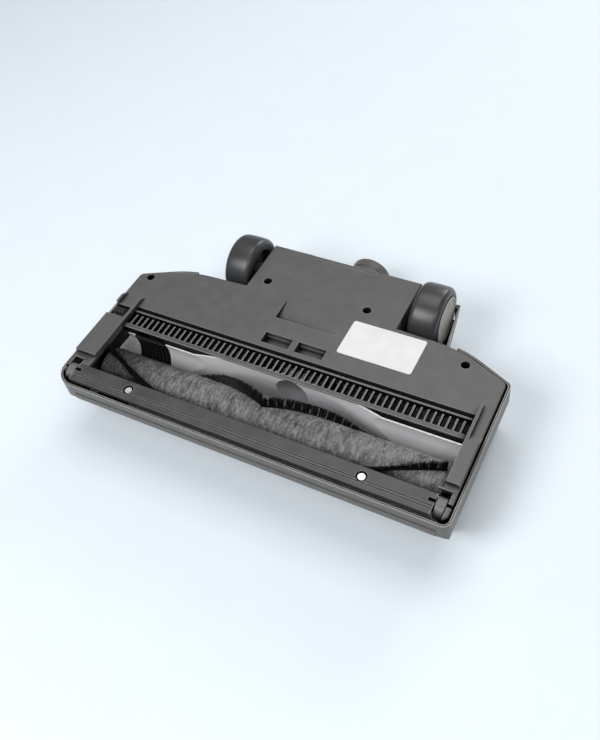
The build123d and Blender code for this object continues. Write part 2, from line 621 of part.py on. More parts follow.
# Dark ribbed panel on the chamber's back wall, beside the belt
grille_left = OPEN_LEFT + GRILLE_IN
grille_right = grille_left + GRILLE_W
grille = rod_x(LINER_R, grille_left, grille_right, LINER_BACK, ROLL_Z)
grille -= rod_x(LINER_R - GRILLE_T, grille_left, grille_right, LINER_BACK, ROLL_Z)
for i in range(8):
    x = grille_left + GRILLE_W * (i + 0.5) / 8
    rib = rod_x(LINER_R, x - 0.7, x + 0.7, LINER_BACK, ROLL_Z)
    grille += rib - rod_x(LINER_R - GRILLE_T - 0.8, x - 1, x + 1, LINER_BACK, ROLL_Z)
grille = grille & block(grille_left, grille_right, LINER_BACK + 14, 0, ROLL_Z - 23, LINER_RIM)
write("chamber_grille", grille)

# End walls of the chamber with the roll's bearings
cap_face = rod_x(LINER_R + LINER_WALL, 0, CAP_T, ROLL_Y, ROLL_Z)
cap_face += rod_x(LINER_R + LINER_WALL, 0, CAP_T, LINER_BACK, ROLL_Z)
cap_face += block(0, CAP_T, ROLL_Y - 19.25, ROLL_Y + 25.75, ROLL_Z - 20, SOLE)
cap_face = cap_face & block(0, CAP_T, COVER_FRONT, 0, 0, SOLE - PLATE)
cap_face -= rod_x(ROLL_SHAFT_R + RUN, -1, CAP_T + 1, ROLL_Y, ROLL_Z)
near_rollers = roller_room + both_sides(pocket + ears)
near_rollers += block(-BASE_HALF, BASE_HALF, COVER_FRONT, OPEN_FRONT + 0.15, ledge_low, SOLE)
near_rollers += block(*channel_x, CHANNEL_Y - CHANNEL_W, CHANNEL_Y, SOLE - CHANNEL_DEEP - 2, SOLE)
write("end_cap_left", Pos(CAP_LEFT - CAP_T, 0, 0) * cap_face - near_rollers)
write("end_cap_right", Pos(CAP_RIGHT, 0, 0) * cap_face - near_rollers)

# Suction tube and the seal against the knuckle
duct = duct_rod(DUCT_R + DUCT_WALL, -10, DUCT_END) - duct_rod(DUCT_R, -10, DUCT_END)
write("suction_duct", duct - chamber_outside)
seal = duct_rod(DUCT_R + DUCT_WALL, DUCT_END, DUCT_END + SEAL_LONG)
seal -= duct_rod(DUCT_R, DUCT_END, DUCT_END + SEAL_LONG)
seal -= rod_x(BARREL_R + CLEAR, NECK_X - 45, NECK_X + 45, TILT_Y, TILT_Z)
seal = seal & block(NECK_X - 45, NECK_X + 45, 0, TILT_Y - 2, 0, SOLE)
seal -= block(NECK_X - 45, NECK_X + 45, TILT_Y - BARREL_R - 0.5, TILT_Y, 0, TILT_Z - 7)
write("duct_seal", seal)

# Motor: a can with end bells on two saddles, and the armature that turns in it
motor = rod_x(MOTOR_R, MOTOR_LEFT, MOTOR_RIGHT, MOTOR_Y, MOTOR_Z)
motor = fillet(motor.edges().filter_by(GeomType.CIRCLE), 2.0)
motor += rod_x(15, MOTOR_LEFT - 7, MOTOR_LEFT, MOTOR_Y, MOTOR_Z)
motor += rod_x(12, MOTOR_RIGHT, MOTOR_RIGHT + 8, MOTOR_Y, MOTOR_Z)
motor -= rod_x(MOTOR_R - CAN_WALL, MOTOR_LEFT + 4, MOTOR_RIGHT - 4, MOTOR_Y, MOTOR_Z)
motor -= rod_x(MOTOR_SHAFT_R + RUN, MOTOR_LEFT - 7, MOTOR_RIGHT + 5, MOTOR_Y, MOTOR_Z)
write("motor", motor)
cradles = []
for x in (MOTOR_LEFT + 12, MOTOR_LEFT + 66):
    saddle = block(x, x + 7, MOTOR_Y - 17, MOTOR_Y + 17, WALL, MOTOR_Z - 8)
    cradles.append(saddle - rod_x(MOTOR_R, x - 1, x + 8, MOTOR_Y, MOTOR_Z))
write("motor_cradles", Compound(cradles))
armature_left = MOTOR_LEFT + (MOTOR_LONG - ARMATURE_LONG) / 2
armature = rod_x(ARMATURE_R, armature_left, armature_left + ARMATURE_LONG, MOTOR_Y, MOTOR_Z)
armature += rod_x(9, armature_left + ARMATURE_LONG, armature_left + ARMATURE_LONG + 10, MOTOR_Y, MOTOR_Z)
armature -= rod_x(MOTOR_SHAFT_R, MOTOR_LEFT, MOTOR_RIGHT, MOTOR_Y, MOTOR_Z)
write("motor_armature", armature)


def pulley(radius, y, z, bore):
    """Flanged belt wheel on the belt's line."""
    wheel = rod_x(radius, BELT_LEFT - 0.5, BELT_LEFT + BELT_W + 0.5, y, z)
    for x in (BELT_LEFT - 0.5 - FLANGE_T, BELT_LEFT + BELT_W + 0.5):
        wheel += rod_x(radius + FLANGE, x, x + FLANGE_T, y, z)
    return wheel - rod_x(bore, BELT_LEFT - 2, BELT_LEFT + BELT_W + 2, y, z)


def belt_loop(grow):
    """Filled outline of the belt around both pulleys, grown outwards."""
    circles = [
        Pos(ROLL_Y, ROLL_Z) * Circle(ROLL_PULLEY_R + grow),
        Pos(MOTOR_Y, MOTOR_Z) * Circle(MOTOR_PULLEY_R + grow),
    ]
    return make_hull([edge for circle in circles for edge in circle.edges()])


# Belt drive under the wide runner
belt_face = Plane.YZ * (belt_loop(CLEAR + BELT_T) - belt_loop(CLEAR))
write("drive_belt", Pos(BELT_LEFT, 0, 0) * extrude(belt_face, amount=BELT_W, dir=(1, 0, 0)))
write("roll_pulley", pulley(ROLL_PULLEY_R, ROLL_Y, ROLL_Z, ROLL_SHAFT_R))
write("motor_pulley", pulley(MOTOR_PULLEY_R, MOTOR_Y, MOTOR_Z, MOTOR_SHAFT_R))
write("motor_shaft", rod_x(MOTOR_SHAFT_R, BELT_LEFT - 1.5, MOTOR_RIGHT + 4, MOTOR_Y, MOTOR_Z))


def bristle_strip(start):
    """Strip of bristles on the roll: two twisted blades that meet in an arrow at mid length."""
    foot = ROLL_R - BRISTLE_SINK
    half = (BRISTLE_RIGHT - BRISTLE_LEFT) / 2
    place = Plane.YZ * Rot(0, 0, -start) * Pos(0, (foot + TIP_R) / 2)
    section = (place * Rectangle(BRISTLE_T, TIP_R - foot)).faces()[0]
    right = Solid.extrude_linear_with_rotation(section, (0, 0, 0), (half, 0, 0), -BRISTLE_TURN)
    left = Solid.extrude_linear_with_rotation(section, (0, 0, 0), (-half, 0, 0), BRISTLE_TURN)
    return Pos((BRISTLE_LEFT + BRISTLE_RIGHT) / 2, ROLL_Y, ROLL_Z) * (right + left)


# Brush roll: a core with shaft and a straight groove for cutting hair off, and two bristle strips
strip_a = bristle_strip(BRISTLE_START)
strip_b = bristle_strip(BRISTLE_START + 180)
core = rod_x(ROLL_R, ROLL_LEFT, ROLL_RIGHT, ROLL_Y, ROLL_Z)
core = fillet(core.edges().filter_by(GeomType.CIRCLE), 1.0)
core += rod_x(ROLL_SHAFT_R, BELT_LEFT - 1.9, CAP_RIGHT + CAP_T, ROLL_Y, ROLL_Z)
groove = block(ROLL_LEFT, ROLL_RIGHT, -GROOVE_W / 2, GROOVE_W / 2, ROLL_R - GROOVE_DEEP, ROLL_R + 1)
core -= Pos(0, ROLL_Y, ROLL_Z) * Rot(-GROOVE_AT, 0, 0) * groove
core = core - strip_a - strip_b
write("roll_core", core)
write("bristle_strip_a", strip_a)
write("bristle_strip_b", strip_b)

# Cheeks under the sole that carry the neck's trunnions
cheek_in = BARREL_HALF + 0.4
cheek = block(cheek_in, cheek_in + CHEEK_T, TILT_Y - 10, TILT_Y + 10, TILT_Z - 10, SOLE - PLATE)
cheek -= rod_x(TRUNNION_R + RUN, 0, cheek_in + 2 * CHEEK_T, TILT_Y, TILT_Z)
write("neck_yoke", Pos(NECK_X, 0, 0) * both_sides(cheek))

# Knuckle: a hollow barrel with a window to the duct, a stub and the spigot the socket turns on
trunnion_half = cheek_in + CHEEK_T
knuckle = rod_x(BARREL_R, NECK_X - BARREL_HALF, NECK_X + BARREL_HALF, TILT_Y, TILT_Z)
knuckle += rod_x(TRUNNION_R, NECK_X - trunnion_half, NECK_X + trunnion_half, TILT_Y, TILT_Z)
knuckle += rod_y(STUB_R, TILT_Y, SWIVEL_Y, NECK_X, TILT_Z)
knuckle += rod_y(SPIGOT_R, SWIVEL_Y - 1, SWIVEL_Y + SPIGOT_LONG, NECK_X, TILT_Z)
hollow_half = BARREL_HALF - 3
knuckle -= rod_x(BARREL_R - BARREL_WALL, NECK_X - hollow_half, NECK_X + hollow_half, TILT_Y, TILT_Z)
knuckle -= rod_y(DUCT_R, TILT_Y, SWIVEL_Y + SPIGOT_LONG + 1, NECK_X, TILT_Z)
window = block(-15, 15, -BARREL_R - 1, -3, -11, BARREL_R + 1)
knuckle -= Pos(NECK_X, TILT_Y, TILT_Z) * window
write("neck_knuckle", knuckle)

# Socket for the wand
socket = rod_y(SOCKET_R + SOCKET_WALL, SOCKET_START, SOCKET_END, NECK_X, TILT_Z)
socket += rod_y(STUB_R, SOCKET_START, SOCKET_START + 9.6, NECK_X, TILT_Z)
socket += rod_y(SOCKET_R + SOCKET_WALL + COLLAR, SOCKET_END - COLLAR_LONG, SOCKET_END, NECK_X, TILT_Z)
socket = fillet(socket.edges().filter_by(GeomType.CIRCLE).sort_by(Axis.Y)[-1:], 1.0)
socket -= rod_y(SPIGOT_R + RUN, SWIVEL_Y, SWIVEL_Y + SPIGOT_LONG + 0.4, NECK_X, TILT_Z)
socket -= rod_y(SOCKET_R, SWIVEL_Y, SOCKET_END + 1, NECK_X, TILT_Z)
write("neck_socket", socket)

# Rear wheels: tyre, hub and ribbed cap, on a steel stub axle
tyre = rod_x(WHEEL_R, WHEEL_IN, WHEEL_OUT, WHEEL_Y, WHEEL_Z)
tyre = fillet(tyre.edges().filter_by(GeomType.CIRCLE), TYRE_ROUND)
tyre -= rod_x(HUB_R, WHEEL_IN, WHEEL_OUT, WHEEL_Y, WHEEL_Z)
hub = rod_x(HUB_R, WHEEL_IN + 0.8, WHEEL_OUT + 0.4, WHEEL_Y, WHEEL_Z)
hub -= rod_x(HUB_R - 2, WHEEL_IN, WHEEL_IN + 8, WHEEL_Y, WHEEL_Z)
hub -= rod_x(HUB_R - HUB_RIM, WHEEL_OUT - 4, WHEEL_OUT + 1, WHEEL_Y, WHEEL_Z)
hub += rod_x(6, BLOCK_HALF + 1.0, WHEEL_IN + 9, WHEEL_Y, WHEEL_Z)
hub -= rod_x(AXLE_R + RUN, axle_in, WHEEL_OUT - 4.6, WHEEL_Y, WHEEL_Z)
cap_r = HUB_R - HUB_RIM
cap = rod_x(cap_r, WHEEL_OUT - 4, WHEEL_OUT, WHEEL_Y, WHEEL_Z)
cap += rod_x(cap_r, WHEEL_OUT - 0.1, WHEEL_OUT + 0.8, WHEEL_Y, WHEEL_Z)
cap -= rod_x(cap_r - 1.2, WHEEL_OUT, WHEEL_OUT + 1, WHEEL_Y, WHEEL_Z)
rib_pitch = 2.0
rib_room = rod_x(cap_r - 1.8, WHEEL_OUT - 0.1, WHEEL_OUT + 0.5, WHEEL_Y, WHEEL_Z)
for i in range(-8, 9):
    rib_z = WHEEL_Z + i * rib_pitch
    rib = block(WHEEL_OUT - 0.1, WHEEL_OUT + 0.5, WHEEL_Y - cap_r, WHEEL_Y + cap_r, rib_z - 0.5, rib_z + 0.5)
    cap += rib & rib_room
for name, piece in (("tyre", tyre), ("hub", hub), ("wheel_cap", cap)):
    write(f"{name}_right", piece)
    write(f"{name}_left", mirror(piece, about=Plane.YZ))
write("wheel_axles", Compound([axle, mirror(axle, about=Plane.YZ)]))

# Front rollers on their pins
roller = rod_x(ROLLER_R, ROLLER_IN, ROLLER_OUT, ROLLER_Y, ROLLER_Z)
roller = fillet(roller.edges().filter_by(GeomType.CIRCLE), 0.8)
roller -= rod_x(PIN_R + RUN, ROLLER_IN - 1, ROLLER_OUT + 1, ROLLER_Y, ROLLER_Z)
write("roller_right", roller)
write("roller_left", mirror(roller, about=Plane.YZ))
write("roller_pins", Compound([pin, mirror(pin, about=Plane.YZ)]))

# Label without print
label = Pos(BASE_HALF - LABEL_IN, LABEL_Y, SOLE) * extrude(RectangleRounded(LABEL_W, LABEL_LONG, 2.0), 0.3)
write("blank_label", label)
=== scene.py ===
import math

import bpy
import numpy as np
from mathutils import Matrix, Vector


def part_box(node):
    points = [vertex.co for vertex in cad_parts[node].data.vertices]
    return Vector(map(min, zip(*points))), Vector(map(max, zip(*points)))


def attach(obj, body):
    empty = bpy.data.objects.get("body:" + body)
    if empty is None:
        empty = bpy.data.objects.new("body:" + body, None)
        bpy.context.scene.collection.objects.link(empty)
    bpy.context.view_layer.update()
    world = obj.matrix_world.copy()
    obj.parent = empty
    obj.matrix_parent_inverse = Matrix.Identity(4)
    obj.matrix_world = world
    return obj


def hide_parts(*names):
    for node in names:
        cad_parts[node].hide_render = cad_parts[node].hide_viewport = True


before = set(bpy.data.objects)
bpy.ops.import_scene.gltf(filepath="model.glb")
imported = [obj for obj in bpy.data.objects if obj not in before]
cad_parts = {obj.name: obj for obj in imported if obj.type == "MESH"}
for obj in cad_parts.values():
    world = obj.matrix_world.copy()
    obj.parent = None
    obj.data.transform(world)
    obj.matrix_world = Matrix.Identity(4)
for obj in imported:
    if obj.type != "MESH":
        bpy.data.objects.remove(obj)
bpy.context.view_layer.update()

# Camera: the photograph looks down on the sole from its front right corner, with the camera a little
# rolled. Place, turn and focal length were worked out from the corners of the sole, wheels and label.
image_size = (600, 740)
focal_pixels = 804.83
camera_place = Vector((0.249357, -0.360255, 0.539156))
azimuth, elevation, roll = (math.radians(a) for a in (35.711, 50.102, -10.786))
level = math.cos(elevation)
towards_camera = Vector((math.sin(azimuth) * level, -math.cos(azimuth) * level, math.sin(elevation)))
level_right = Vector((0, 0, 1)).cross(towards_camera).normalized()
level_up = towards_camera.cross(level_right)
camera_right = math.cos(roll) * level_right + math.sin(roll) * level_up
camera_up = math.cos(roll) * level_up - math.sin(roll) * level_right
lens = bpy.data.cameras.new("photo_lens")
lens.sensor_width = 36.0
lens.lens = focal_pixels * lens.sensor_width / max(image_size)
camera = bpy.data.objects.new("photo_camera", lens)
camera.matrix_world = Matrix.Translation(camera_place) @ (
    Matrix((camera_right, camera_up, towards_camera)).transposed().to_4x4()
)
bpy.context.scene.collection.objects.link(camera)
bpy.context.scene.camera = camera

# Top cover: the deep shell that the head lies on, injection moulded in grey ABS with a fine spark-eroded
# grain. Screws from the sole pull it up against the plate; its rim shows around the sole as a thin line.
# First come a noise texture's usual range and the sockets of a Mix node that blends two colours.
noise_low, noise_high = 0.3, 0.7
mix_share, mix_from, mix_to, mix_result = 0, 6, 7, 2


def linear(hex_colour):
    """Linear RGBA of an sRGB hex colour: each channel goes through the sRGB curve backwards."""
    channels = [int(hex_colour[i:i + 2], 16) / 255 for i in (1, 3, 5)]
    return tuple(c / 12.92 if c <= 0.04045 else ((c + 0.055) / 1.055) ** 2.4 for c in channels) + (1.0,)


def add(tree, kind, inputs=None, **settings):
    """Adds one node, sets its properties, and fills its inputs with values or links."""
    new = tree.nodes.new("ShaderNode" + kind)
    for key, value in settings.items():
        setattr(new, key, value)
    for key, value in (inputs or {}).items():
        if isinstance(value, bpy.types.NodeSocket):
            tree.links.new(value, new.inputs[key])
        else:
            new.inputs[key].default_value = value
    return new


def start_material(name):
    """Empty node material: gives it, its tree and the Object coordinates."""
    material = bpy.data.materials.new(name)
    material.use_nodes = True
    material.node_tree.nodes.clear()
    return material, material.node_tree, add(material.node_tree, "TexCoord").outputs["Object"]


def close_material(tree, shader):
    """Links the shader to the material's output."""
    add(tree, "OutputMaterial", {"Surface": shader.outputs[0]})


def closed_in(tree, reach_mm, shut, most):
    """Mask of closed-in places, from the share of open air within reach around each point.

    It has the value most where that share is at or under the first number of shut, and falls evenly to
    nothing at the second number.
    """
    open_air = add(tree, "AmbientOcclusion", {"Distance": reach_mm / 1000}, samples=8)
    mask = add(
        tree,
        "MapRange",
        {
            "Value": open_air.outputs["AO"],
            "From Min": shut[0],
            "From Max": shut[1],
            "To Min": most,
            "To Max": 0.0,
        },
    )
    return mask.outputs[0]


def moulded(
    name, face, worn, roughness, grain_mm=0.6, depth_mm=0.03, edge_band_mm=1.2, crevice=0.95, shut=(0.45, 0.85)
):
    """Moulded plastic or rubber: fine grain, faint clouds, edges painted lighter, corners painted dark.

    An edge is where the normal rounded over the edge band's width leaves the face's own normal, so that
    their dot product falls; there the worn colour is laid on, partly as rubbed wear and partly as a painted
    highlight. Clouds blend a little of the worn colour into the face and make it duller in places. Corners
    with little open air around them are darkened as painted shade and lose their shine. The grain is drawn
    about five times coarser than real, so that it shows.
    """
    cloud_mm = 12
    mould_radius_mm = 0.4
    crevice_reach_mm = 8
    material, tree, place = start_material(name)
    grain = add(tree, "TexNoise", {"Vector": place, "Scale": 1000 / grain_mm, "Detail": 2.0})
    cloud = add(tree, "TexNoise", {"Vector": place, "Scale": 1000 / cloud_mm, "Detail": 6.0})
    soft = add(tree, "Bevel", {"Radius": mould_radius_mm / 1000}, samples=6)
    edge_round = add(tree, "Bevel", {"Radius": edge_band_mm / 1000}, samples=8)
    flat = add(tree, "NewGeometry")
    agree = add(
        tree,
        "VectorMath",
        {0: edge_round.outputs["Normal"], 1: flat.outputs["Normal"]},
        operation="DOT_PRODUCT",
    )
    edge = add(
        tree,
        "MapRange",
        {"Value": agree.outputs["Value"], "From Min": 0.99, "From Max": 0.85, "To Max": 0.85},
    )
    # Painted shade: closed-in corners and crevices are darkened towards a near black of the face colour.
    crevice_shade = closed_in(tree, crevice_reach_mm, shut, crevice)
    tone = add(
        tree,
        "MapRange",
        {"Value": cloud.outputs[0], "From Min": noise_low, "From Max": noise_high, "To Max": 0.07},
    )
    clouded = add(
        tree,
        "Mix",
        {mix_share: tone.outputs[0], mix_from: linear(face), mix_to: linear(worn)},
        data_type="RGBA",
    )
    # Edges painted in the worn colour: partly rubbed wear, partly a painted highlight.
    rubbed_and_highlit = add(
        tree,
        "Mix",
        {mix_share: edge.outputs[0], mix_from: clouded.outputs[mix_result], mix_to: linear(worn)},
        data_type="RGBA",
    )
    crevice_shade_colour = tuple(0.05 * c for c in linear(face)[:3]) + (1.0,)
    crevice_shaded = add(
        tree,
        "Mix",
        {mix_share: crevice_shade, mix_from: rubbed_and_highlit.outputs[mix_result], mix_to: crevice_shade_colour},
        data_type="RGBA",
    )
    dull = add(
        tree,
        "MapRange",
        {
            "Value": cloud.outputs[0],
            "From Min": noise_low,
            "From Max": noise_high,
            "To Min": roughness - 0.03,
            "To Max": roughness + 0.04,
        },
    )
    bump = add(
        tree,
        "Bump",
        {
            "Height": grain.outputs[0],
            "Strength": 0.5,
            "Distance": depth_mm / 1000,
            "Normal": soft.outputs["Normal"],
        },
    )
    # The painted shade also takes the shine out of the corners.
    shine = add(tree, "MapRange", {"Value": crevice_shade, "To Min": 0.5, "To Max": 0.0})
    shader = add(
        tree,
        "BsdfPrincipled",
        {
            "Base Color": crevice_shaded.outputs[mix_result],
            "Roughness": dull.outputs[0],
            "IOR": 1.53,
            "Specular IOR Level": shine.outputs[0],
            "Normal": bump.outputs[0],
        },
    )
    close_material(tree, shader)
    return material


def dress(material, *names):
    """Puts one material on the CAD nodes with these names."""
    for name in names:
        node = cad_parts[name]
        node.data.materials.clear()
        node.data.materials.append(material)


# Satin ABS: wide soft highlights on a warm dark grey, and a pale line along the rim, partly rubbed wear and
# partly painted highlight; its corners are painted dark as shade.
cover_abs = moulded("grey_abs_cover", "#555451", "#c6c4be", 0.4)
dress(cover_abs, "top_cover")

# Front bumper: a strip of soft grey TPE pressed into a groove along the cover's nose, so that the head
# does not mark skirting boards. TPE is a touch lighter and duller than the cover, with a coarser grain.
bumper_tpe = moulded("soft_tpe_bumper", "#5c5a57", "#8a8882", 0.5, grain_mm=0.9)
dress(bumper_tpe, "front_bumper")

# Sole: the plate with brush opening, runners, roller pockets and screw wells, moulded in one piece of
# grey ABS and screwed to the cover. Its edges are painted lighter, partly as rubbed wear and partly as
# painted highlight, and its corners are painted dark as shade.
sole_abs = moulded("grey_abs_sole", "#525252", "#9c9c9a", 0.42, edge_band_mm=0.9)
dress(sole_abs, "base_plate")

# Front strip and its two screws: a moulded bar that closes the brush opening in front, held by two bright
# zinc-plated screws with a cross recess. It is the sole's ABS in a darker grey; its edges are painted
# paler, partly as rubbed wear and partly as painted highlight, and its corners are painted dark as shade.
strip_abs = moulded("grey_abs_front_strip", "#383838", "#a4a4a2", 0.42, edge_band_mm=0.7)
dress(strip_abs, "front_strip")


def metal(name, face, roughness, mark_mm, flecks, bare=1.0):
    """Bare or plated metal: turning marks as noise in roughness and bump, with flecks of tone.

    The marks are drawn some times coarser than real, so that they show. bare is the share of clean metal.
    """
    mark_depth_mm = 0.05
    material, tree, place = start_material(name)
    marks = add(tree, "TexNoise", {"Vector": place, "Scale": 1000 / mark_mm, "Detail": 4.0})
    fleck = add(
        tree,
        "Mix",
        {mix_share: marks.outputs[0], mix_from: linear(face), mix_to: linear(flecks)},
        data_type="RGBA",
    )
    dull = add(
        tree,
        "MapRange",
        {
            "Value": marks.outputs[0],
            "From Min": noise_low,
            "From Max": noise_high,
            "To Min": roughness - 0.08,
            "To Max": roughness + 0.1,
        },
    )
    bump = add(
        tree,
        "Bump",
        {"Height": marks.outputs[0], "Strength": 0.25, "Distance": mark_depth_mm / 1000},
    )
    shader = add(
        tree,
        "BsdfPrincipled",
        {
            "Base Color": fleck.outputs[mix_result],
            "Metallic": bare,
            "Roughness": dull.outputs[0],
            "Normal": bump.outputs[0],
        },
    )
    close_material(tree, shader)
    return material


# Zinc plate: nearly white with blurred reflections, so the heads are the brightest spots on the strip.
zinc = metal("zinc_plated_steel", "#f4f4f6", 0.34, 0.5, "#d0d0d4", bare=0.7)
dress(zinc, "strip_screws")

# Housing screws: four steel screws at the bottom of deep wells, which hold the sole to the bosses of the
# cover. Black oxide is dark and half dull, so the heads are nearly lost in the shade of their wells.
black_oxide = metal("black_oxide_steel", "#2a2a2b", 0.45, 0.6, "#1b1b1c")
dress(black_oxide, "housing_screws")

# Comb: the long slotted bar behind the brush opening that holds threads back. It is moulded in grey ABS
# and clipped into the sole. The edges of its teeth are painted pale, partly as rubbed wear and partly as
# painted highlight, and its slots are painted black as shade.
comb_abs = moulded(
    "grey_abs_comb", "#464646", "#c4c4c2", 0.4, edge_band_mm=0.7, crevice=0.99, shut=(0.65, 0.97)
)
dress(comb_abs, "comb_grille")

# Lint strip: a short toothed strip in the channel of the wide runner, which combs lint from the carpet.
# It is moulded in the sole's own grey ABS and pressed into its channel, so it looks the same.
dress(sole_abs, "lint_strip")

# Chamber: the trough around the roll, moulded in plastic with a silver lacquer, which flares to the mouth
# of the duct. A dark ribbed panel sits on its back wall beside the belt; bearing walls close both ends.
# Black ABS: the ribs of the panel show only by their faint sheen.
black_abs = moulded("black_abs", "#171717", "#2c2c2c", 0.5)
dress(black_abs, "chamber_grille", "end_cap_left", "end_cap_right")

# Silver lacquer: pale, with a soft sheen in long streaks. Painted shade greys it further down the wall,
# starting a little below its upper edge, and the lacquer is masked around the dark panel.
shade_top, shade_full = 0.014, 0.036
streak_mm, peel_mm, peel_depth_mm = 9, 1.2, 0.05
panel_gap = 0.0008
liner_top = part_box("tunnel_liner")[1][2]
panel_low, panel_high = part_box("chamber_grille")
panel_mid = (panel_low[0] + panel_high[0]) / 2
panel_half = (panel_high[0] - panel_low[0]) / 2 + panel_gap
lacquer, tree, place = start_material("silver_lacquered_plastic")
spot = add(tree, "SeparateXYZ", {"Vector": place})
drawn_out = add(tree, "Mapping", {"Vector": place, "Scale": (0.25, 1.0, 1.0)})
streaks = add(tree, "TexNoise", {"Vector": drawn_out.outputs[0], "Scale": 1000 / streak_mm, "Detail": 5.0})
peel = add(tree, "TexNoise", {"Vector": place, "Scale": 1000 / peel_mm, "Detail": 2.0})
silver = add(
    tree,
    "Mix",
    {mix_share: streaks.outputs[0], mix_from: linear("#fdfdfe"), mix_to: linear("#e6e6ea")},
    data_type="RGBA",
)
# Painted shade: the lacquer is greyed more and more towards the bottom of the wall.
painted_shade_down = add(
    tree,
    "MapRange",
    {
        "Value": spot.outputs["Z"],
        "From Min": liner_top - shade_full,
        "From Max": liner_top - shade_top,
        "To Min": 0.5,
        "To Max": 0.0,
    },
)
shaded_down = add(
    tree,
    "Mix",
    {mix_share: painted_shade_down.outputs[0], mix_from: silver.outputs[mix_result], mix_to: linear("#8c8c90")},
    data_type="RGBA",
)
around_panel = add(tree, "Math", {0: spot.outputs["X"], 1: panel_mid, 2: panel_half}, operation="COMPARE")
masked = add(
    tree,
    "Mix",
    {mix_share: around_panel.outputs[0], mix_from: shaded_down.outputs[mix_result], mix_to: linear("#161616")},
    data_type="RGBA",
)
gloss = add(
    tree,
    "MapRange",
    {
        "Value": streaks.outputs[0],
        "From Min": noise_low,
        "From Max": noise_high,
        "To Min": 0.2,
        "To Max": 0.36,
    },
)
orange_peel = add(
    tree,
    "Bump",
    {"Height": peel.outputs[0], "Strength": 0.2, "Distance": peel_depth_mm / 1000},
)
shader = add(
    tree,
    "BsdfPrincipled",
    {
        "Base Color": masked.outputs[mix_result],
        "Metallic": 0.1,
        "Roughness": gloss.outputs[0],
        "IOR": 1.5,
        "Normal": orange_peel.outputs[0],
    },
)
close_material(tree, shader)
dress(lacquer, "tunnel_liner")

# Suction duct and its seal: a moulded tube from the chamber to the neck, and a nitrile ring that closes on
# the turning knuckle. The duct is pale ABS with no painted shade in its corners, so its mouth shades off
# softly; the ring is black and dull.
duct_abs = moulded("grey_abs_duct", "#b4b4b8", "#c4c4c8", 0.35, crevice=0.0)
dress(duct_abs, "suction_duct")
seal_rubber = moulded("black_nitrile_seal", "#1d1d1d", "#303030", 0.65, grain_mm=0.8)
dress(seal_rubber, "duct_seal")

# Motor, its saddles and the belt drive: screwed down inside the cover. The can is zinc-plated sheet painted
# dark and dull as shade in the housing, so it stays dark behind the slots of the comb. The core and its
# pulley are blackened steel, the shaft is bright, the saddles and the roll's pulley are black ABS, and the
# belt is dull neoprene.
# Painted shade: the can's colour is dark grey because it lies in shade inside the housing.
zinc_painted_dark = metal("zinc_can_painted_dark_as_shade", "#454547", 0.65, 1.2, "#363638", bare=0.15)
dress(zinc_painted_dark, "motor")
dress(black_oxide, "motor_pulley", "motor_armature")
dress(zinc, "motor_shaft")
dress(black_abs, "motor_cradles", "roll_pulley")
belt_rubber = moulded("black_neoprene_belt", "#191919", "#2b2b2b", 0.7, grain_mm=1.0)
dress(belt_rubber, "drive_belt")

# Neck: cheeks under the sole carry the knuckle, on whose spigot the wand socket turns. Knuckle and socket
# are moulded in the cover's warm grey ABS with a satin look, the cheeks in black.
neck_abs = moulded("grey_abs_neck", "#575552", "#8c8a84", 0.42)
dress(neck_abs, "neck_knuckle", "neck_socket")
dress(black_abs, "neck_yoke")

# Brush roll core: a moulded roll on a steel shaft that carries two helical grooves for the bristle strips.
# Use has left it covered in a thin pile of grey dust fibres, combed round it. Roll and pile are painted
# black beside the belt as shadow, and the pile paler towards the right as highlight.
roll_low, roll_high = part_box("roll_core")
strip_low, strip_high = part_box("bristle_strip_a")
axis_y = (roll_low[1] + roll_high[1]) / 2
axis_z = (roll_low[2] + roll_high[2]) / 2
roll_r = (roll_high[2] - roll_low[2]) / 2
bristle_mid = (strip_low[0] + strip_high[0]) / 2
bristle_half = (strip_high[0] - strip_low[0]) / 2
bristle_start = math.radians(12)
bristle_turn = math.radians(182)
shade_reach_mm, shade_shut, shade_most = 12, (0.3, 0.6), 0.9
shade_colour = linear("#0c0c0c")


def helix_angle(x, start):
    """Angle of a strip about the roll, from straight up: it grows evenly from mid length outwards."""
    return start + bristle_turn * np.abs(x - bristle_mid) / bristle_half


def on_roll(x, angle, radius):
    """Points at these places along, around and away from the roll's axis."""
    return np.stack([x, axis_y + radius * np.sin(angle), axis_z + radius * np.cos(angle)], axis=-1)


def new_mesh(name, points, faces, material, smooth=True):
    """Object of these points and faces, where faces is an array with as many columns as corners."""
    mesh = bpy.data.meshes.new(name)
    corners = faces.shape[1]
    mesh.vertices.add(len(points))
    mesh.vertices.foreach_set("co", points.astype(np.float32).ravel())
    mesh.loops.add(faces.size)
    mesh.loops.foreach_set("vertex_index", faces.astype(np.int32).ravel())
    mesh.polygons.add(len(faces))
    mesh.polygons.foreach_set("loop_start", np.arange(len(faces), dtype=np.int32) * corners)
    mesh.polygons.foreach_set("loop_total", np.full(len(faces), corners, dtype=np.int32))
    mesh.polygons.foreach_set("use_smooth", np.full(len(faces), smooth))
    mesh.update(calc_edges=True)
    mesh.materials.append(material)
    piece = bpy.data.objects.new(name, mesh)
    bpy.context.scene.collection.objects.link(piece)
    return piece


def shade_points(piece, shades):
    """Stores one tone per point, which the material reads by the name shade."""
    tones = piece.data.attributes.new("shade", "FLOAT", "POINT")
    tones.data.foreach_set("value", shades.astype(np.float32))


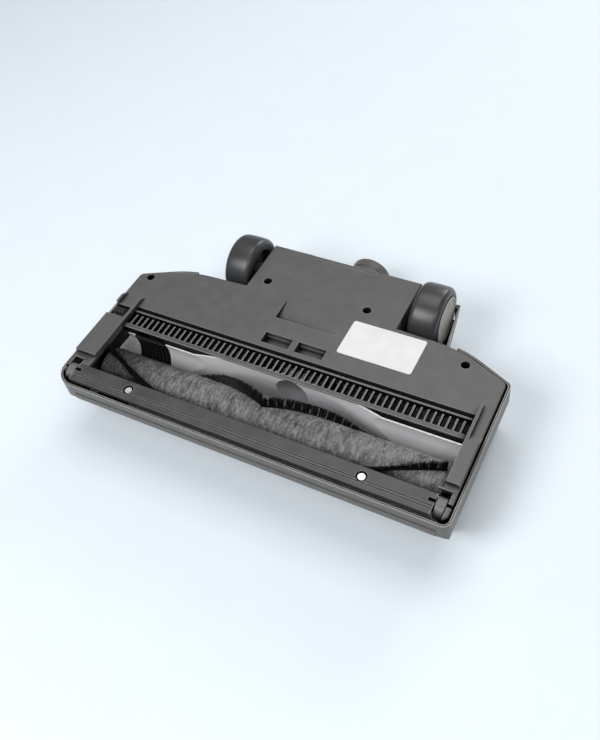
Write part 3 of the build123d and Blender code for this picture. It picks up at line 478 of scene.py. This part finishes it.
# Dusty plastic: matt, mottled by dust that is wound round the roll; painted black towards the belt as
# shadow, and in the gap behind the front strip as shade.
wound_mm, patch_mm, nap_depth_mm = 2.5, 28, 0.3
shadow_from, shadow_to = strip_low[0] + 0.01, strip_low[0] + 0.07
roll_felt, tree, place = start_material("dusty_brush_roll_plastic")
spot = add(tree, "SeparateXYZ", {"Vector": place})
wound = add(tree, "Mapping", {"Vector": place, "Scale": (1.0, 0.3, 0.3)})
lint = add(tree, "TexNoise", {"Vector": wound.outputs[0], "Scale": 1000 / wound_mm, "Detail": 6.0})
patches = add(tree, "TexNoise", {"Vector": place, "Scale": 1000 / patch_mm, "Detail": 3.0})
matted = add(tree, "MapRange", {"Value": lint.outputs[0], "From Min": 0.35, "From Max": 0.65})
dusty = add(
    tree,
    "Mix",
    {mix_share: matted.outputs[0], mix_from: linear("#202020"), mix_to: linear("#9c9c9b")},
    data_type="RGBA",
)
worn = add(
    tree,
    "Mix",
    {mix_share: patches.outputs[0], mix_from: dusty.outputs[mix_result], mix_to: linear("#666665")},
    data_type="RGBA",
)
# Painted shadow: the roll is blackened towards the belt end.
belt_end_shadow = add(
    tree,
    "MapRange",
    {"Value": spot.outputs["X"], "From Min": shadow_from, "From Max": shadow_to, "To Min": 0.75, "To Max": 0.0},
)
bare = add(
    tree,
    "Mix",
    {mix_share: belt_end_shadow.outputs[0], mix_from: worn.outputs[mix_result], mix_to: linear("#1c1c1c")},
    data_type="RGBA",
)
shaded = add(
    tree,
    "Mix",
    {
        mix_share: closed_in(tree, shade_reach_mm, shade_shut, shade_most),
        mix_from: bare.outputs[mix_result],
        mix_to: shade_colour,
    },
    data_type="RGBA",
)
nap = add(tree, "Bump", {"Height": lint.outputs[0], "Strength": 0.6, "Distance": nap_depth_mm / 1000})
shader = add(
    tree,
    "BsdfPrincipled",
    {"Base Color": shaded.outputs[mix_result], "Roughness": 0.85, "Normal": nap.outputs[0]},
)
close_material(tree, shader)
dress(roll_felt, "roll_core")

# Dust fibre: matt, from nearly black to nearly white by each fibre's own tone and the painted light along
# the roll, in flocks, and painted dark as shade in closed-in places.
flock_mm = 14
pile_fibre, tree, place = start_material("grey_dust_fibre")
shade = add(tree, "Attribute", attribute_name="shade")
flock = add(tree, "TexNoise", {"Vector": place, "Scale": 1000 / flock_mm, "Detail": 3.0})
thick_dust = add(
    tree,
    "MapRange",
    {"Value": flock.outputs[0], "From Min": 0.35, "From Max": 0.65, "To Min": 0.25},
)
lit = add(tree, "Math", {0: shade.outputs["Fac"], 1: thick_dust.outputs[0]}, operation="MULTIPLY")
fibre_tone = add(
    tree,
    "Mix",
    {mix_share: lit.outputs[0], mix_from: linear("#2a2a2a"), mix_to: linear("#f0f0ef")},
    data_type="RGBA",
)
shaded = add(
    tree,
    "Mix",
    {
        mix_share: closed_in(tree, shade_reach_mm, shade_shut, shade_most),
        mix_from: fibre_tone.outputs[mix_result],
        mix_to: shade_colour,
    },
    data_type="RGBA",
)
shader = add(tree, "BsdfPrincipled", {"Base Color": shaded.outputs[mix_result], "Roughness": 0.8})
close_material(tree, shader)

# Real dust fibres are a few hundredths of a millimetre thick; these are drawn coarser, to show.
fibre_half = 0.0001
fibre_length = (0.001, 0.0034)
fibre_lift = (0.0002, 0.0007)
lay_spread = 0.55
combed_share = 0.75
groove_half = 0.0024
pile_overrun = 0.001
# Painted light along the roll: shadow at the belt end, highlight towards the right.
shadow_length, shadow_fade_length = 0.02, 0.07
highlight_start, highlight_fade_length = 0.04, 0.08


def dust_pile(name, count, seed):
    """Short spikes on the roll, each with a three-cornered foot in the surface and a tip combed round it.

    Foot and tip are points on cylinders about the roll's axis; the tip lies further round, a little
    further out and to one side. No spike starts over the grooves. Its shade rises in two even ramps along
    the roll: black as painted shadow at the belt end, then paler towards the right as painted highlight.
    """
    rng = np.random.default_rng(seed)
    x = rng.uniform(strip_low[0] - pile_overrun, strip_high[0] + pile_overrun, count)
    angle = rng.uniform(0, 2 * np.pi, count)
    off_a = np.angle(np.exp(1j * (angle - helix_angle(x, bristle_start))))
    off_b = np.angle(np.exp(1j * (angle - helix_angle(x, bristle_start + np.pi))))
    clear = np.minimum(np.abs(off_a), np.abs(off_b)) * roll_r > groove_half
    x, angle = x[clear], angle[clear]
    kept = len(x)
    length = rng.uniform(*fibre_length, kept)
    lay = rng.normal(0.0, lay_spread, kept)
    turn = np.where(rng.random(kept) < combed_share, 1.0, -1.0) * length * np.cos(lay) / roll_r
    tip = on_roll(x + length * np.sin(lay), angle + turn, roll_r + rng.uniform(*fibre_lift, kept))
    foot_r = roll_r - fibre_half
    feet = [
        on_roll(x - fibre_half, angle, np.full(kept, foot_r)),
        on_roll(x + fibre_half, angle, np.full(kept, foot_r)),
        on_roll(x, angle, np.full(kept, foot_r + 2 * fibre_half)),
    ]
    points = np.stack(feet + [tip], axis=1).reshape(-1, 3)
    first_corner = np.arange(kept)[:, None, None] * 4
    faces = (first_corner + np.array([[0, 2, 1], [0, 1, 3], [1, 2, 3], [2, 0, 3]])).reshape(-1, 3)
    piece = new_mesh(name, points, faces, pile_fibre, smooth=False)
    # Painted light: black as shadow at the belt end, paler towards the right as highlight.
    light_along_roll = np.clip((x - strip_low[0] - shadow_length) / shadow_fade_length, 0, 1)
    light_along_roll = light_along_roll + np.clip((x - highlight_start) / highlight_fade_length, 0, 1)
    shades = 1.3 * (0.25 + 0.75 * rng.uniform(0, 1, kept) ** 2) * light_along_roll
    shade_points(piece, np.repeat(shades, 4))
    return piece


pile = dust_pile("roll_dust_pile", count=44000, seed=3)
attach(pile, "brush_roll")

# Bristle strips: rows of black nylon tufts set in a flexible back that slides into the roll's helical
# groove. The two rows start half a turn apart, and each has an arrow at mid length.
# Nylon: black with a weak sheen, so single fibres show only where they catch the light.
sheen_mm = 0.5
nylon, tree, place = start_material("black_nylon_bristle")
shade = add(tree, "Attribute", attribute_name="shade")
black = add(
    tree,
    "Mix",
    {mix_share: shade.outputs["Fac"], mix_from: linear("#070707"), mix_to: linear("#262626")},
    data_type="RGBA",
)
fine = add(tree, "TexNoise", {"Vector": place, "Scale": 1000 / sheen_mm, "Detail": 2.0})
sheen = add(
    tree,
    "MapRange",
    {
        "Value": fine.outputs[0],
        "From Min": noise_low,
        "From Max": noise_high,
        "To Min": 0.5,
        "To Max": 0.7,
    },
)
shader = add(
    tree,
    "BsdfPrincipled",
    {
        "Base Color": black.outputs[mix_result],
        "Roughness": sheen.outputs[0],
        "IOR": 1.53,
        "Specular IOR Level": 0.2,
    },
)
close_material(tree, shader)

# A tuft holds fewer and thicker fibres than a real one, so that they show.
tuft_pitch = 0.0063
fibres_per_tuft = 96
tuft_half = (0.0028, 0.0014)
bristle_r = 0.00017
tip_r = 0.025
tip_uneven = 0.0012
sway_spread = 0.0003
spread_along, spread_across = 0.1, 0.6
back_low, back_high, back_half = roll_r - 0.0011, roll_r + 0.0001, 0.00145


def bristle_frame(x, start):
    """Direction away from the axis, along the row and across it, at places along the strip.

    The row's direction is the derivative of its helix; across is away cross along.
    """
    angle = helix_angle(x, start)
    away = np.stack([np.zeros_like(x), np.sin(angle), np.cos(angle)], axis=-1)
    slope = np.sign(x - bristle_mid + 1e-9) * bristle_turn / bristle_half * roll_r
    along = np.stack([np.ones_like(x), slope * np.cos(angle), -slope * np.sin(angle)], axis=-1)
    along /= np.linalg.norm(along, axis=-1, keepdims=True)
    return away, along, np.cross(away, along)


def on_axis(x):
    """Points of the roll's axis at these places along it."""
    return np.stack([x, np.full(len(x), axis_y), np.full(len(x), axis_z)], axis=-1)


def bristle_tufts(name, start, seed):
    """One row of tufts: fibres are three-sided tapered rods with a foot, a middle and a tip ring.

    The feet fill a rounded block around the tuft's place on the helix. Towards the tips the fibres spread
    and lean with the square of the height, each tuft together and each fibre a little by itself.
    """
    rng = np.random.default_rng(seed)
    stretch = math.hypot(1.0, bristle_turn / bristle_half * roll_r)
    tufts = int(2 * bristle_half * stretch / tuft_pitch)
    centres = strip_low[0] + (np.arange(tufts) + 0.5) * 2 * bristle_half / tufts
    x = np.repeat(centres, fibres_per_tuft)
    away, along, across = bristle_frame(x, start)
    count = len(x)
    u = tuft_half[0] * rng.uniform(-1, 1, count)
    v = tuft_half[1] * rng.uniform(-1, 1, count) * np.sqrt(1 - 0.6 * (u / tuft_half[0]) ** 2)
    lean = np.repeat(rng.normal(0, sway_spread, (tufts, 2)), fibres_per_tuft, axis=0)
    levels = np.array([0.0, 0.55, 1.0])
    tops = tip_r - rng.uniform(0.0, tip_uneven, count)
    height = back_low + levels[None, :] * (tops - back_low)[:, None]
    sway = levels**2
    lean_along = lean[:, :1] + rng.normal(0, sway_spread, (count, 1))
    lean_across = lean[:, 1:] + rng.normal(0, sway_spread, (count, 1))
    du = u[:, None] * (1 + spread_along * sway) + lean_along * sway
    dv = v[:, None] * (1 + spread_across * sway) + lean_across * sway
    spine = on_axis(x)[:, None] + away[:, None] * height[..., None]
    spine = spine + along[:, None] * du[..., None] + across[:, None] * dv[..., None]
    side = np.arange(3) * 2 * np.pi / 3
    width = bristle_r * np.array([1.0, 0.9, 0.6])
    ring = along[:, None, None] * np.cos(side)[:, None] + across[:, None, None] * np.sin(side)[:, None]
    points = (spine[:, :, None] + ring * width[None, :, None, None]).reshape(-1, 3)
    lower, upper = np.array([[0, 1], [1, 2], [2, 0]]), np.array([[4, 3], [5, 4], [3, 5]])
    wall = np.concatenate([lower, upper], axis=1)
    quads = np.concatenate([wall, wall + 3])
    triangles = np.concatenate([quads[:, [0, 1, 2]], quads[:, [0, 2, 3]], [[6, 7, 8], [2, 1, 0]]])
    faces = (np.arange(count)[:, None, None] * 9 + triangles).reshape(-1, 3)
    piece = new_mesh(name, points, faces, nylon, smooth=False)
    shade_points(piece, np.repeat(rng.uniform(0.0, 0.6, count) ** 2, 9))
    return piece


def bristle_back(name, start):
    """Flexible back of a strip: a flat rectangle carried along the helix, closed at both ends."""
    x = np.linspace(strip_low[0], strip_high[0], 161)
    away, _, across = bristle_frame(x, start)
    radii = (back_low, back_high, back_high, back_low)
    sides = (-back_half, -back_half, back_half, back_half)
    rows = [on_axis(x) + away * r + across * w for r, w in zip(radii, sides)]
    points = np.stack(rows, axis=1).reshape(-1, 3)
    first_corner = np.arange(len(x) - 1)[:, None, None] * 4
    walls = np.array([[j, (j + 1) % 4, 4 + (j + 1) % 4, 4 + j] for j in range(4)])
    ends = np.array([[3, 2, 1, 0], len(points) - 4 + np.arange(4)])
    faces = np.concatenate([(first_corner + walls).reshape(-1, 4), ends])
    piece = new_mesh(name, points, faces, nylon, smooth=False)
    shade_points(piece, np.zeros(len(points)))
    return piece


for letter, start, seed in (("a", bristle_start, 11), ("b", bristle_start + math.pi, 12)):
    tufts = bristle_tufts(f"bristle_tufts_{letter}", start, seed)
    back = bristle_back(f"bristle_back_{letter}", start)
    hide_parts(f"bristle_strip_{letter}")
    for piece in (tufts, back):
        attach(piece, "brush_roll")

# Rear wheels: a rubber tyre with rounded shoulders, moulded onto a grey ABS hub that a ribbed, beige-grey
# cap closes on the outside. Each wheel turns on a zinc-plated stub axle.
# Satin rubber: nearly black, with one broad highlight across the tread and a thin one on the shoulder.
# Its edges are painted lighter, and where it sits close in the wheel bay it is painted dark as shade.
tyre_rubber = moulded(
    "satin_black_tyre_rubber",
    "#353537",
    "#565659",
    0.33,
    grain_mm=0.9,
    depth_mm=0.02,
    crevice=0.9,
    shut=(0.3, 0.75),
)
bore_r = 0.0205
shoulder = 0.0045
crown = 0.0003


def tyre(name, node):
    """Turned ring: a profile carried round the axle.

    From the bore outwards: side wall with a shallow ring groove, round shoulder, slightly crowned tread,
    and the same back down the other side. The crown falls with the square of the way from mid width.
    """
    low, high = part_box(node)
    centre_x, centre_y, centre_z = ((low[i] + high[i]) / 2 for i in range(3))
    outer = (high[2] - low[2]) / 2
    half = (high[0] - low[0]) / 2
    wall_r = np.array([bore_r, 0.0212, 0.0216, 0.0222, 0.0226])
    wall_in = np.array([0.0008, 0.0, 0.0004, 0.0004, 0.0])
    bend = np.linspace(0, np.pi / 2, 9)[1:]
    shoulder_r = outer - crown - shoulder + shoulder * np.sin(bend)
    shoulder_in = shoulder - shoulder * np.cos(bend)
    from_middle = np.linspace(1, 0, 7)[1:-1]
    tread_r = outer - crown * from_middle**2
    tread_in = half - (half - shoulder) * from_middle
    half_r = np.concatenate([wall_r, shoulder_r, tread_r])
    half_x = half - np.concatenate([wall_in, shoulder_in, tread_in])
    r = np.concatenate([half_r, half_r[::-1]])
    x = np.concatenate([half_x, -half_x[::-1]]) + centre_x
    turns, n = 128, len(x)
    angle = np.arange(turns) * 2 * np.pi / turns
    y = centre_y + np.outer(np.cos(angle), r)
    z = centre_z + np.outer(np.sin(angle), r)
    points = np.stack([np.broadcast_to(x, (turns, n)), y, z], axis=-1).reshape(-1, 3)
    i, j = np.meshgrid(np.arange(turns), np.arange(n), indexing="ij")
    next_i, next_j = (i + 1) % turns, (j + 1) % n
    corners = [i * n + j, i * n + next_j, next_i * n + next_j, next_i * n + j]
    return new_mesh(name, points, np.stack(corners, axis=-1).reshape(-1, 4), tyre_rubber)


# Satin dark ABS on the hub, painted darker still inside the tyre as shade; the cap's paler ABS gets
# little painted shade and shows its ribs.
hub_abs = moulded("grey_abs_hub", "#3a3a3b", "#8a8a88", 0.4)
cap_abs = moulded(
    "beige_grey_wheel_cap", "#b8b6b0", "#dcdad5", 0.45, edge_band_mm=0.5, crevice=0.1, shut=(0.2, 0.6)
)
for side in ("left", "right"):
    ring = tyre(f"rubber_tyre_{side}", f"tyre_{side}")
    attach(ring, f"wheel_{side}")
    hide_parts(f"tyre_{side}")
    dress(hub_abs, f"hub_{side}")
    dress(cap_abs, f"wheel_cap_{side}")
dress(zinc, "wheel_axles")

# Front rollers: two small rollers moulded in grey ABS, on zinc-plated pins that snap into slots in the
# sole. Floors have worn them to a satin grey, a little paler than the sole around them.
roller_abs = moulded("grey_abs_roller", "#656564", "#9a9a98", 0.4)
dress(roller_abs, "roller_left", "roller_right")
dress(zinc, "roller_pins")

# Label: a plain sticker of polyester film, cut with rounded corners and pressed onto the flat of the sole.
# Satin white film: the brightest face of the sole, kept from looking flat by faint stains and ripples.
ripple_mm, ripple_depth_mm, stain_mm = 0.7, 0.03, 16
film, tree, place = start_material("white_polyester_film")
waves = add(tree, "TexNoise", {"Vector": place, "Scale": 1000 / ripple_mm, "Detail": 3.0})
stain = add(tree, "TexNoise", {"Vector": place, "Scale": 1000 / stain_mm, "Detail": 4.0})
white = add(
    tree,
    "Mix",
    {mix_share: stain.outputs[0], mix_from: linear("#ececeb"), mix_to: linear("#d2d2d0")},
    data_type="RGBA",
)
ripple = add(
    tree,
    "Bump",
    {"Height": waves.outputs[0], "Strength": 0.3, "Distance": ripple_depth_mm / 1000},
)
shader = add(
    tree,
    "BsdfPrincipled",
    {"Base Color": white.outputs[mix_result], "Roughness": 0.4, "Normal": ripple.outputs[0]},
)
close_material(tree, shader)
dress(film, "blank_label")

# Table and light: a plain table painted a matt pale blue, under a large soft box in front, one above, one
# behind that lights the tops of the tyres, and a small one beside the camera that reaches the wheel cap
# behind its fender.
table_half = 3.0
speck_mm = 40
table_paint, tree, place = start_material("pale_table_paint")
speck = add(tree, "TexNoise", {"Vector": place, "Scale": 1000 / speck_mm, "Detail": 3.0})
paint = add(
    tree,
    "Mix",
    {mix_share: speck.outputs[0], mix_from: linear("#e4eef6"), mix_to: linear("#e9f2f9")},
    data_type="RGBA",
)
shader = add(tree, "BsdfPrincipled", {"Base Color": paint.outputs[mix_result], "Roughness": 0.7})
close_material(tree, shader)
corners = table_half * np.array([[-1, -1, 0], [1, -1, 0], [1, 1, 0], [-1, 1, 0]])
table = new_mesh("pale_table", corners, np.array([[0, 1, 2, 3]]), table_paint, smooth=False)


def soft_box(name, place, aim, size, watts):
    """Square area light at a place, turned to a point."""
    light = bpy.data.lights.new(name, "AREA")
    light.size = size
    light.energy = watts
    box = bpy.data.objects.new(name, light)
    bpy.context.scene.collection.objects.link(box)
    box.location = place
    box.rotation_euler = (Vector(aim) - Vector(place)).to_track_quat("-Z", "Y").to_euler()


head_middle = (0, 0, 0.04)
soft_box("front_soft_box", (-0.55, -1.25, 1.4), head_middle, size=0.8, watts=19.5)
soft_box("top_soft_box", (-0.1, 0.45, 1.55), head_middle, size=1.0, watts=7.5)
soft_box("back_soft_box", (0.3, 1.8, 0.8), head_middle, size=0.9, watts=12.0)
soft_box("right_strip_box", (0.75, -0.75, 1.25), (0.1, 0, 0.03), size=0.5, watts=5.0)
sky = bpy.data.worlds.new("studio_air")
sky.use_nodes = True
background = sky.node_tree.nodes["Background"]
background.inputs["Color"].default_value = linear("#f7f9fb")
background.inputs["Strength"].default_value = 0.3
bpy.context.scene.world = sky
bpy.context.scene.view_settings.view_transform = "Standard"
